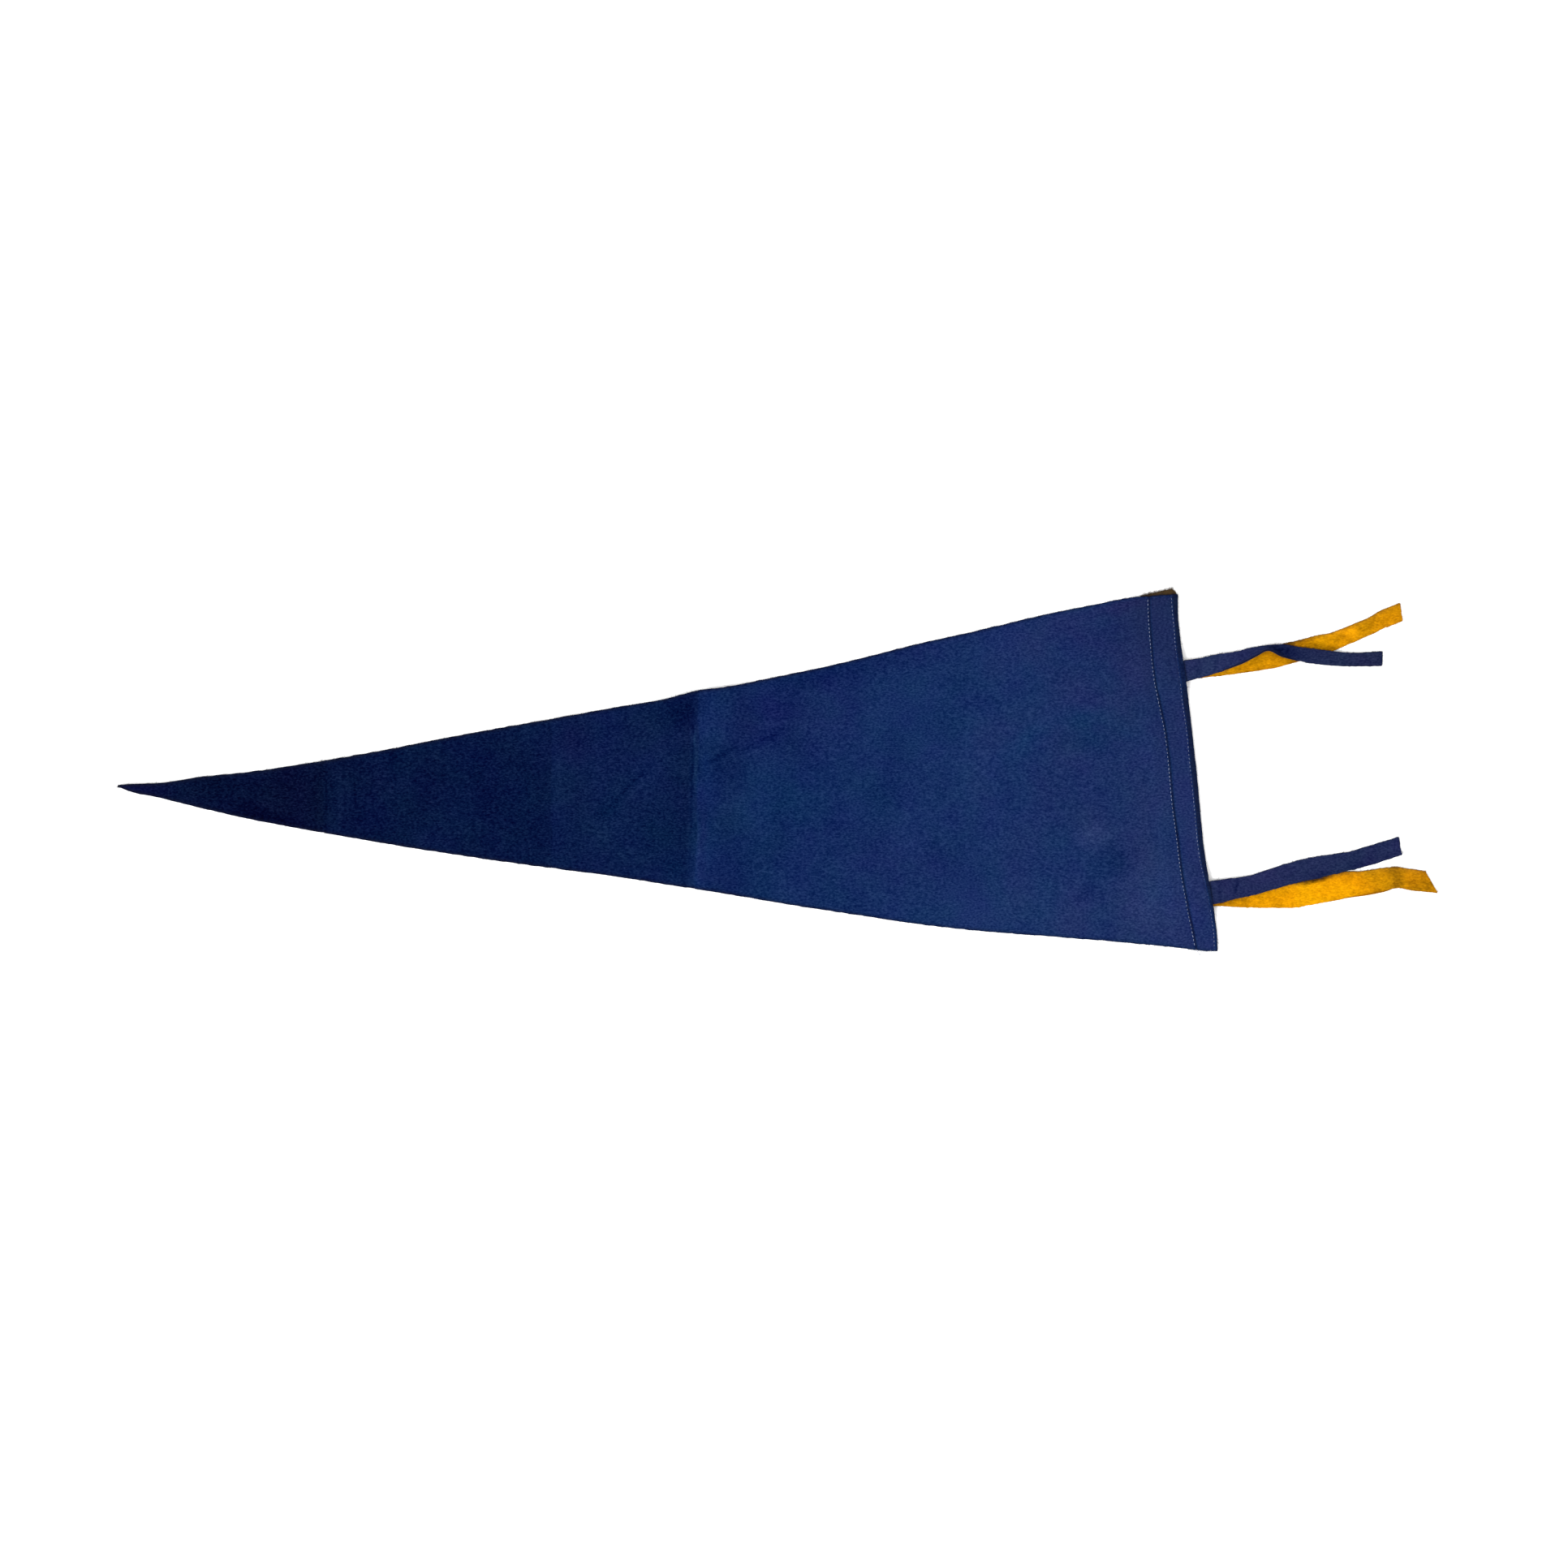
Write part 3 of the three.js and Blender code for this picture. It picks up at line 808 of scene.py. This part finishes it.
for name, shape in tieShapes.items():
    bed = bedOnGold(tieShapes[shape["on"]]["sections"]) if "on" in shape else stripBed
    surface = tieSurface(shape["sections"], bed, lumps(tieBuild["lumpSize"]))
    last = len(shape["sections"]) - 1
    inset = tieBuild["inset"]
    u = np.linspace(inset, last - inset / 2, tieBuild["steps"])[:, None]
    v = 0.5 - (0.5 - inset) * np.cos(np.pi * np.linspace(0, 1, tieBuild["lanes"]))[None, :]
    u, v = np.broadcast_arrays(u, v)
    lower, upper, _ = facesOf(surface, u, v, *tieBuild["slopeStep"])
    # the dye's tone along the tie, with painted light and shade where it bends
    fadeRows = np.array(shape["fade"])
    fade = np.interp(u / last, fadeRows[:, 0], fadeRows[:, 1])
    x, y = upper[..., 0], upper[..., 1]
    if "shade" in shape:
        # darker close to the blue tie that lies on it, above or below its middle line
        blue = np.array([row[:4] for row in tieShapes[shape["under"]]["sections"]])
        middle = (blue[:, :2] + blue[:, 2:]) / 2
        shadeRows = np.array(shape["shade"])
        above, below = (np.interp(u / last, shadeRows[:, 0], shadeRows[:, k]) for k in (1, 2))
        strength = np.where(y > np.interp(x, middle[:, 0], middle[:, 1]), above, below)
        away = distanceOutside(outlineOf(blue), x, y) / tieBuild["shadeReach"]
        fade = fade * (1 - strength * np.exp(-away))
    width = np.hypot(*(surface(u, 1.0)[0] - surface(u, 0.0)[0])[..., :2].transpose(2, 0, 1))
    # soil and painted shade along the tie's edges, stronger on the upper edge, which gets less
    # light
    upperSoilAndShade, lowerSoilAndShade = shape["edgeSoilAndShade"]
    across = width / tieBuild["soilAndShadeReach"]
    grimeAndShade = upperSoilAndShade * np.exp(-v * across) + lowerSoilAndShade * np.exp(-(1 - v) * across)
    bare = x > np.interp(-y, -stripRows[:, 3], stripRows[:, 2]) + tieBuild["hairsFrom"]
    tie = closedSheet(name, lower, upper, fade, grimeAndShade, tieBuild["hairs"], bare)
    tie.data.materials.append(shape["material"])
    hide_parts(shape["node"])
    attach(tie, "root")

print("stage: panel")

panelCut = {
    # x and y on the upper edge, how far right the section's lower end lies, y there
    "sections": [
        [-698.6, -9.1, 0, -10.5],
        [-693.6, -8.7, 0, -12.5],
        [-671.1, -7.6, 0, -17.9],
        [-644.3, -3.5, 0, -24.5],
        [-617.5, -0.8, 0, -30.7],
        [-563.9, 7.0, 0, -40.7],
        [-456.7, 27.1, 0, -58.2],
        [-411.6, 34.9, 0, -64.2],
        [-370.9, 42.4, 0, -69.7],
        [-336.1, 48.4, -1.5, -74.8],
        [-316.2, 53.6, -2.7, -77.7],
        [-303.9, 55.0, -2.7, -79.6],
        [-269.1, 61.6, 0, -86.1],
        [-215.5, 73.1, 0, -94.4],
        [-175.3, 83.3, 2.7, -100.9],
        [-135.1, 92.3, 6.4, -105.6],
        [-81.5, 104.9, 15, -110.5],
        [-54.7, 110.2, 22.5, -113.4],
        [-38.0, 113.7, 24.2, -115.2],
        [-27.0, 115.1, 25.3, -116.4],
        [-19.8, 115.4, 25.7, -117.3],
        [-11.8, 116.1, 26.0, -118.3],
        [-0.8, 116.8, 26.3, -118.9],
    ],
    # how the short edge waves: share of the way down, millimetres out
    "bow": [
        [0, -0.2], [0.06, -1.7], [0.11, -2.0], [0.25, -1.2], [0.5, -1.0], [0.72, -1.7],
        [0.88, 0.0], [0.95, 0.6], [1, -0.3],
    ],
    "bowRun": 46.0,
    # old fold lines with a bow on both sides of each: x on the upper edge, how high the bows
    # stand at the upper and at the lower edge, reach of the left and of the right bow
    "creases": [
        [-563.9, 0.9, 1.1, 21, 24],
        [-413.8, 1.3, 1.0, 24, 27],
        [-316.2, 2.8, 2.2, 33, 39],
    ],
    "bowPeak": 27 / 4,  # brings the greatest height of a bow's curve to one
    "foldRound": 0.9,
    # no fold line is quite straight: size, length and start of each wave in it
    "foldWaves": [[0.5, 8.5, 0], [0.3, 3.4, 1]],
    "foldLines": [-2.4, -1.6, -0.8, 0, 0.8, 1.6, 2.4],  # lines of points beside each fold
    "tipRise": 2.0,  # how far the tip stands up, and from how far off it starts to
    "tipRun": 40.0,
    "rimDrop": 0.9,  # how far the short edge is worn down, and how far in that reaches
    "rimDropIn": 1.4,
    # how the blue's tone rises from the tip to the heading, in steps at the folds, with painted
    # shade where less light falls towards the tip: x, tone and shade
    "fade": [
        [-698.6, 0.2], [-660, 0.06], [-590, 0.0], [-568, 0.02], [-556, 0.18], [-470, 0.26],
        [-422, 0.28], [-412, 0.42], [-370, 0.46], [-324, 0.42], [-318, 0.6], [-270, 0.65],
        [-190, 0.77], [-120, 0.86], [0, 0.98],
    ],
    "lump": 0.07,
    "lumpSize": 10.0,
    "swell": 0.3,
    "swellSize": 95.0,
    "swellFrom": (40, 90),  # none at this distance from the short edge, and all at this one
    "lines": 84,  # lines of points along it, and what the sections stand apart
    "apart": [2.6, 1.2, 0.6],
    "apartFrom": [46, 23],  # where they come closer, in from the short edge
    "slopeStep": (0.15, 0.0008),
    "hairs": 1600,
    "flat": (0.240, 0.711),
}
seams = {
    # share of the way down the short edge, millimetres in from it
    "inner": [
        [0.0, 19.8], [0.12, 20.5], [0.19, 21.1], [0.245, 21.0], [0.3, 20.0], [0.376, 18.4],
        [0.61, 18.2], [0.675, 17.6], [0.78, 17.6], [0.873, 16.8], [0.94, 15.9],
        [1.0, 14.3],
    ],
    "outer": [
        [0.0, 4.3], [0.1, 3.3], [0.16, 4.1], [0.29, 4.2], [0.38, 3.6], [0.5, 3.9],
        [0.61, 3.6], [0.73, 3.7], [0.8, 3.2], [0.87, 2.4], [0.92, 2.1], [1.0, 2.0],
    ],
    "groove": 0.28,  # how deep a row pulls the felt in
    "grooveReach": 0.8,
    "grooveAtRoots": 0.8,  # and how much deeper it does over the tie roots
    "ends": 0.006,  # share of the way down that is left free of stitches at each end
    "measured": 2400,  # places at which a row's length is measured
    "placed": 4000,  # even places along it that the stitches are read from
    "pitch": 2.6,  # from needle hole to needle hole
    "stitch": 1.55,  # how much of that shows as thread
    "threads": {"inner": 0.17, "outer": 0.125},  # radius of each row's thread
    "sunkAtRoots": 0.13,
    "jitter": 0.08,  # how unevenly the needle went in, and how much the stitches' lengths differ
    "uneven": 0.12,
    "lean": (0.05, 0.07),  # how far a stitch leans off the row, and how much that differs
    "steps": 8,
    "sink": 0.2,  # a stitch's ends lie this deep in the felt, and its middle this far above them
    "rise": 0.26,
    "underside": 0.6,  # height of the needle holes under the strip
    # the inner thread's end, which hangs out thinner past the lower edge of the panel
    "tailThin": 0.8,
    "tail": [
        [10.9, -117.2, 2.9],
        [11.4, -118.2, 3.0],
        [12.1, -119.1, 2.2],
        [12.9, -119.9, 1.1],
        [13.6, -120.6, 0.5],
        [14.1, -121.4, 0.3],
        [14.5, -121.9, 0.3],
    ],
}
sections = np.array(panelCut["sections"])
bow = np.array(panelCut["bow"])
innerRow, outerRow = np.array(seams["inner"]), np.array(seams["outer"])
shortEdgeX = sections[-1, 0]
rootOutlines = [
    outlineOf([row[:4] for row in tieShapes[name]["sections"]])
    for name in ("tieUpperBlue", "tieLowerBlue")
]
state = chance.bit_generator.state
panelSwell, panelLumps = lumps(panelCut["swellSize"]), lumps(panelCut["lumpSize"])
chance.bit_generator.state = state  # what is drawn next starts with the same numbers


def panelSurface(station, down):
    # The panel lies on the table, over the strip, and in a hump over each pair of tie roots.
    # Beside a fold line it bows up as share times (1 - share) squared, where share is the
    # distance over the bow's reach.
    station, down = np.broadcast_arrays(station, down)
    inward = shortEdgeX - station
    top, lean, bottom = (smoothRead(sections[:, 0], sections[:, k], station) for k in (1, 2, 3))
    wave = smoothRead(bow[:, 0], bow[:, 1], down)
    x = station + lean * down + wave * np.maximum(0, 1 - inward / panelCut["bowRun"])
    y = top + (bottom - top) * down
    rootCover = np.maximum(*(cover(outline, x, y) for outline in rootOutlines))
    z = stripBed(x, y) + rootRise * rootCover
    z -= panelCut["rimDrop"] * (1 - rootCover) * np.maximum(0, 1 - inward / panelCut["rimDropIn"])
    towardsTip = np.maximum(0, 1 - (station - sections[0, 0]) / panelCut["tipRun"])
    z += panelCut["tipRise"] * towardsTip**2
    wander = sum(size * np.sin(y / length + at) for size, length, at in panelCut["foldWaves"])
    for fold, topHigh, bottomHigh, left, right in panelCut["creases"]:
        off = station - fold - wander
        away = np.hypot(off, panelCut["foldRound"]) - panelCut["foldRound"]
        share = np.minimum(away / np.where(off < 0, left, right), 1)
        high = topHigh + (bottomHigh - topHigh) * down
        z += high * panelCut["bowPeak"] * share * (1 - share) ** 2
    free = ease(inward, *panelCut["swellFrom"])
    z += panelCut["swell"] * free * (1 + panelSwell(x, y)).clip(0, 3)
    felt = cloth["felt"] + panelCut["lump"] * panelLumps(x, y)
    for row in (innerRow, outerRow):
        off = (inward - smoothRead(row[:, 0], row[:, 1], down)) / seams["grooveReach"]
        deep = seams["groove"] * (1 + seams["grooveAtRoots"] * rootCover)
        felt -= deep * np.exp(-(off**2))
    return np.stack([x, y, z], -1), felt


panelSoilAndShade = {
    "fadeUneven": 0.03,  # how uneven the tone is, in patches of this size
    "fadeSize": 40.0,
    "paleFold": 0.06,  # paler in places, just past the main fold
    "paleFoldAt": 5.0,
    "paleFoldReach": 4.0,
    "paleFoldSize": 12.0,
    # the inner row's groove, just past the thread, is soiled and darkened with painted shade
    "grooveSoilAndShade": 0.4,
    "grooveShade": 0.55,
    "grooveAt": 0.9,
    "grooveReach": 0.9,
    # so is the band past the outer row: share of the way down, soil and painted shade
    "bandShade": 0.45,
    "bandEdge": 1.1,
    "bandSoilAndShade": [
        [0, 0.52], [0.17, 0.52], [0.2, 0.3], [0.25, 0.3], [0.29, 0.55], [0.8, 0.52],
        [1, 0.1],
    ],
    # the heading's upper part is soiled, down to this share of its length and this far in
    "topSoil": 0.3,
    "topSoilDown": 0.45,
    "topSoilIn": (20, 70),
    # the upper and lower edges are soiled and darkened with painted shade
    "edgeSoilAndShade": 0.45,
    "edgeSoilAndShadeReach": 1.6,
    "edgeShade": 0.25,
    "edgeShadeReach": 1.3,
}
rim = cloth["rim"]
end = shortEdgeX - rim
turns = [sections[0, 0] + rim, *(shortEdgeX - far for far in panelCut["apartFrom"]), end - 0.3]
stations = [np.arange(*run) for run in zip(turns[:-1], turns[1:], panelCut["apart"])]
stations += [fold[0] + np.array(panelCut["foldLines"]) for fold in panelCut["creases"]]
stations = np.concatenate([*stations, [end]])
stations = np.unique(stations.round(3))[:, None]
sectionHeight = smoothRead(sections[:, 0], sections[:, 1] - sections[:, 3], stations)
# lines run even between the two edges, and closer together along the worn edges
edgeRows = np.array(cloth["wornIn"]) + rim
shares = np.minimum(edgeRows / sectionHeight, 0.3 * edgeRows / edgeRows[-1])
inner = np.linspace(0, 1, panelCut["lines"])[None, 1:-1]
inner = shares[:, -1:] + (1 - 2 * shares[:, -1:]) * inner
downs = np.concatenate([shares, inner, 1 - shares[:, ::-1]], 1)
stations = np.broadcast_to(stations, downs.shape)
lower, upper, _ = facesOf(panelSurface, stations, downs, *panelCut["slopeStep"])
fadeRows = np.array(panelCut["fade"])
x, y = lower[..., 0], lower[..., 1]
# darker towards the tip: the dye's tone, with painted shade where less light falls
fade = np.interp(stations, fadeRows[:, 0], fadeRows[:, 1])
fade = fade + panelSoilAndShade["fadeUneven"] * lumps(panelSoilAndShade["fadeSize"])(x, y)
# paler in patches just past the main fold
past = (stations - panelCut["creases"][-1][0] - panelSoilAndShade["paleFoldAt"]) / panelSoilAndShade["paleFoldReach"]
paleFold = np.exp(-(past**2)) * lumps(panelSoilAndShade["paleFoldSize"])(x, y).clip(0, 2)
fade = np.clip(fade + panelSoilAndShade["paleFold"] * paleFold, 0, 1)
inward = shortEdgeX - stations
pastInner, pastOuter = (
    smoothRead(row[:, 0], row[:, 1], downs) - inward for row in (innerRow, outerRow)
)
onBand = ease(pastOuter, 0.0, panelSoilAndShade["bandEdge"])
inGroove = np.exp(-(((pastInner - panelSoilAndShade["grooveAt"]) / panelSoilAndShade["grooveReach"]) ** 2))
# painted shade in the inner row's groove and on the band past the outer row
fade = fade - panelSoilAndShade["grooveShade"] * inGroove - panelSoilAndShade["bandShade"] * onBand
bandRows = np.array(panelSoilAndShade["bandSoilAndShade"])
topSoil = panelSoilAndShade["topSoil"] * (1 - downs / panelSoilAndShade["topSoilDown"]).clip(0)
topSoil = topSoil * (1 - ease(inward, *panelSoilAndShade["topSoilIn"]))
fromEdge = np.minimum(downs, 1 - downs) * np.broadcast_to(sectionHeight, downs.shape)
# painted shade along the upper and lower edges
fade = fade - panelSoilAndShade["edgeShade"] * np.exp(-((fromEdge / panelSoilAndShade["edgeShadeReach"]) ** 2))
fade = np.clip(fade, 0, 1)
# and soil with painted shade there
edgeSoilAndShade = panelSoilAndShade["edgeSoilAndShade"] * np.exp(-((fromEdge / panelSoilAndShade["edgeSoilAndShadeReach"]) ** 2))
# soil with painted shade on the band, in the groove and along the edges, and soil on the heading's
# upper part
grimeAndShade = np.interp(downs, bandRows[:, 0], bandRows[:, 1]) * onBand
for darkening in (topSoil, panelSoilAndShade["grooveSoilAndShade"] * inGroove, edgeSoilAndShade):
    grimeAndShade = np.maximum(grimeAndShade, darkening)
panel = closedSheet("feltPanel", lower, upper, fade, grimeAndShade, panelCut["hairs"])
panel.data.materials.append(navyFelt)
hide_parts("panel")
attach(panel, "root")

print("stage: heading strip")


def readAlong(at, knots, points):
    return np.stack([np.interp(at, knots, points[:, k]) for k in range(3)], -1)


def seamPath(row):
    # places along a row of stitches, at even steps of its real length
    down = np.linspace(seams["ends"], 1 - seams["ends"], seams["measured"])
    station = shortEdgeX - smoothRead(row[:, 0], row[:, 1], down)
    _, back, normal = facesOf(panelSurface, station, down, *panelCut["slopeStep"])
    run = np.concatenate([[0], np.cumsum(np.linalg.norm(np.diff(back, axis=0), axis=1))])
    at = np.linspace(0, run[-1], seams["placed"])
    return readAlong(at, run, back), readAlong(at, run, normal), run[-1]


seamLines = {key: seamPath(np.array(seams[key])) for key in ("inner", "outer")}


def stripSurface(u, v):
    # flat on the table, with both rows of stitches pulled up into its underside
    u, v = np.broadcast_arrays(u, v)
    knots = np.arange(len(stripRows))
    x, y, farX, farY = (smoothRead(knots, stripRows[:, k], u) for k in range(4))
    x, y = x + (farX - x) * v, y + (farY - y) * v
    groove = np.zeros(x.shape)
    for line, _, _ in seamLines.values():
        off = (x - np.interp(-y, -line[:, 1], line[:, 0])) / strip["seamReach"]
        groove += strip["seamPull"] * np.exp(-(off**2))
    return np.stack([x, y, groove], -1), cloth["felt"] - groove


insetU, insetV = strip["insets"]
u = np.linspace(insetU, len(stripRows) - 1 - insetU, strip["steps"])[:, None]
v = np.linspace(insetV, 1 - insetV, strip["lanes"])[None, :]
u, v = np.broadcast_arrays(u, v)
lower, thickness = stripSurface(u, v)
upper = lower + np.stack([np.zeros(u.shape), np.zeros(u.shape), thickness], -1)
# soil and painted shade on the strip's showing end
grimeAndShade = strip["endGrimeAndShade"] * (1 - ease(u, *strip["endRows"]))
bare = u < strip["bareRows"]
heading = closedSheet("headingStrip", lower, upper, strip["fade"], grimeAndShade, strip["endHairs"], bare)
heading.data.materials.append(goldFelt)
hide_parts("heading_strip")
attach(heading, "root")

print("stage: stitches")


def stitchRow(line, length, thick, under):
    # Each stitch is an arc between two needle holes: its height is the sine of its share of the
    # way, so both ends dive into the felt. It leans a little off the row, by chance.
    place, up = line
    count = int(length // seams["pitch"])
    first = (length - count * seams["pitch"]) / 2 + (seams["pitch"] / 2 if under else 0)
    if under:
        count -= 1
    share = np.linspace(0, 1, seams["steps"])[None, :]
    jitter = chance.normal(0, seams["jitter"], (count, 1))
    start = first + seams["pitch"] * np.arange(count)[:, None] + jitter
    reach = seams["stitch"] + chance.normal(0, seams["uneven"], (count, 1))
    at = (start + reach * share) / length * (len(place) - 1)
    steps = np.arange(len(place))
    paths, ups = readAlong(at, steps, place), readAlong(at, steps, up)
    sunk = np.maximum(*(cover(outline, paths[..., 0], paths[..., 1]) for outline in rootOutlines))
    sideways = unit(np.cross(np.gradient(paths, axis=1), ups))
    lean = chance.normal(*seams["lean"], (count, 1)) * (share - 0.5) * 2
    paths = paths + sideways * lean[..., None]
    arc = np.sin(np.pi * share)
    if under:
        holes = seams["underside"]
        paths[..., 2] = holes - (holes - thick - 0.01) * arc**0.5  # just clear of the table
        return threads(paths, upwards, thick)
    lift = -seams["sink"] + seams["rise"] * arc**0.7 - seams["sunkAtRoots"] * sunk
    return threads(paths + ups * lift[..., None], ups, thick)


for key in ("inner", "outer"):
    place, up, length = seamLines[key]
    thick = seams["threads"][key]
    parts = [stitchRow((place, up), length, thick, under) for under in (False, True)]
    if key == "inner":
        parts.append(threads(np.array(seams["tail"])[None], upwards, thick * seams["tailThin"]))
    points, faces = joined(parts)
    seam = addMesh(key + "SeamStitches", points, faces)
    seam.data.materials.append(thread)
    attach(seam, "root")

print("stage: table, light and camera")

studio = {
    "table": "#ffffff",
    "tableSize": 8.0,  # metres, and so are the places below
    "tableDrop": 0.0002,
    "sky": 1.1,
    "key": 125.0,  # watts
    "keyAt": (-2.0, -1.3, 2.7),
    "keyAim": (-0.2, 0.0, 0.0),
    "keySize": 1.4,
}
half = studio["tableSize"] / 2
table = bpy.data.meshes.new("table")
corners = [(-half, -half), (half, -half), (half, half), (-half, half)]
table.from_pydata([(x, y, -studio["tableDrop"]) for x, y in corners], [], [(0, 1, 2, 3)])
tableTop = bpy.data.objects.new("table", table)
bpy.context.collection.objects.link(tableTop)
# painted board: plain, pale and quite matt
board, tree = newMaterial("paintedBoard")
shader = addNode(tree, "BsdfDiffuse", {"Color": linear(studio["table"])})
addNode(tree, "OutputMaterial", {"Surface": shader.outputs["BSDF"]})
table.materials.append(board)

world = bpy.data.worlds.new("softRoom")
bpy.context.scene.world = world
world.use_nodes = True
backdrop = world.node_tree.nodes["Background"]
backdrop.inputs["Color"].default_value = linear("#ffffff")
backdrop.inputs["Strength"].default_value = studio["sky"]

keyLight = bpy.data.lights.new("keyLight", "AREA")
keyLight.energy = studio["key"]
keyLight.size = studio["keySize"]
keyObject = bpy.data.objects.new("keyLight", keyLight)
keyObject.location = studio["keyAt"]
aim = Vector(studio["keyAim"]) - keyObject.location
keyObject.rotation_euler = aim.to_track_quat("-Z", "Y").to_euler()
bpy.context.collection.objects.link(keyObject)

# straight down, with the whole pennant across the middle of the frame
camera = bpy.data.cameras.new("camera")
camera.lens = 50
camera.sensor_width = 36
cameraObject = bpy.data.objects.new("camera", camera)
cameraObject.location = (-0.2605, -0.0084, 1.438)
bpy.context.collection.objects.link(cameraObject)
bpy.context.scene.camera = cameraObject
bpy.context.scene.view_settings.view_transform = "Standard"
